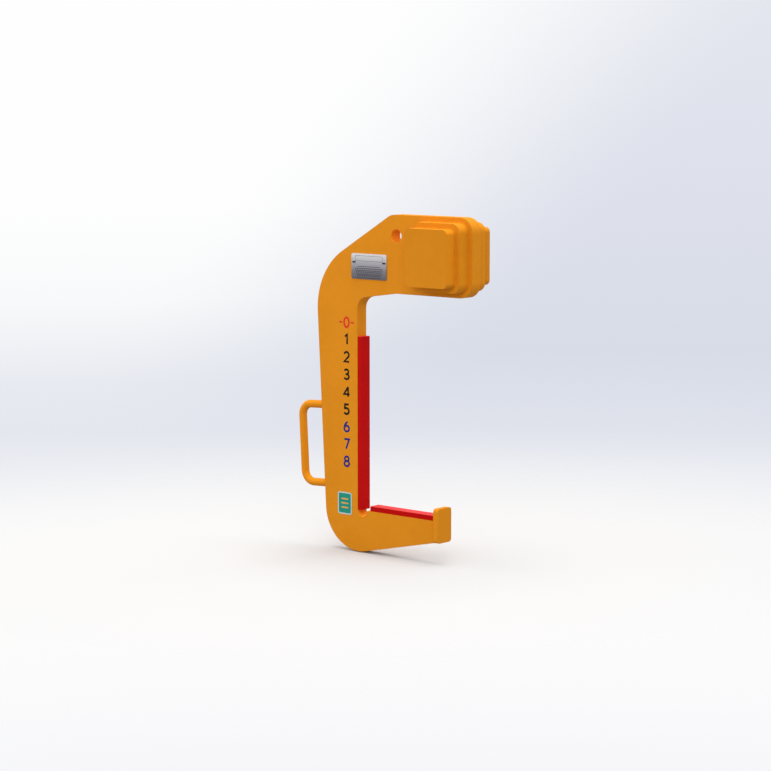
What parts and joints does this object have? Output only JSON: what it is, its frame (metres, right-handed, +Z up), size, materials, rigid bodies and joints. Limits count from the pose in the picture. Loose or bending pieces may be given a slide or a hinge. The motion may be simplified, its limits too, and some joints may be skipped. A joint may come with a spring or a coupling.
{
  "type": "coil hook",
  "caption": "Steel C-shaped coil hook with stepped counterweight plates, a bar handle, red wear pads and an upright tip plate.",
  "frame": {"origin": "centre of the lifting hole, halfway through the main plate", "axes": "+X along the two arms towards the tip, +Y through the plate away from the nameplate side, +Z up as the hook hangs"},
  "size_m": [0.5415, 0.16, 0.808],
  "materials": {
    "orange_paint": "gloss enamel on steel plate",
    "weld_paint": "gloss enamel over weld beads",
    "red_pad": "smooth polyurethane",
    "nameplate_metal": "brushed",
    "rivet_metal": "dark",
    "green_label": "printed film"
  },
  "bodies": {
    "root": {"hook_plate": "orange_paint", "inner_weight_front": "orange_paint", "inner_weight_rear": "orange_paint", "outer_weight_front": "orange_paint", "outer_weight_rear": "orange_paint", "inner_weld_front": "weld_paint", "inner_weld_rear": "weld_paint", "outer_weld_front": "weld_paint", "outer_weld_rear": "weld_paint", "handle": "orange_paint", "handle_weld_upper": "weld_paint", "handle_weld_lower": "weld_paint", "spine_pad": "red_pad", "arm_pad": "red_pad", "tip_plate": "orange_paint", "tip_weld_front": "weld_paint", "tip_weld_rear": "weld_paint", "nameplate": "nameplate_metal", "nameplate_rivets": "rivet_metal", "label": "green_label"}
  },
  "joints": []
}
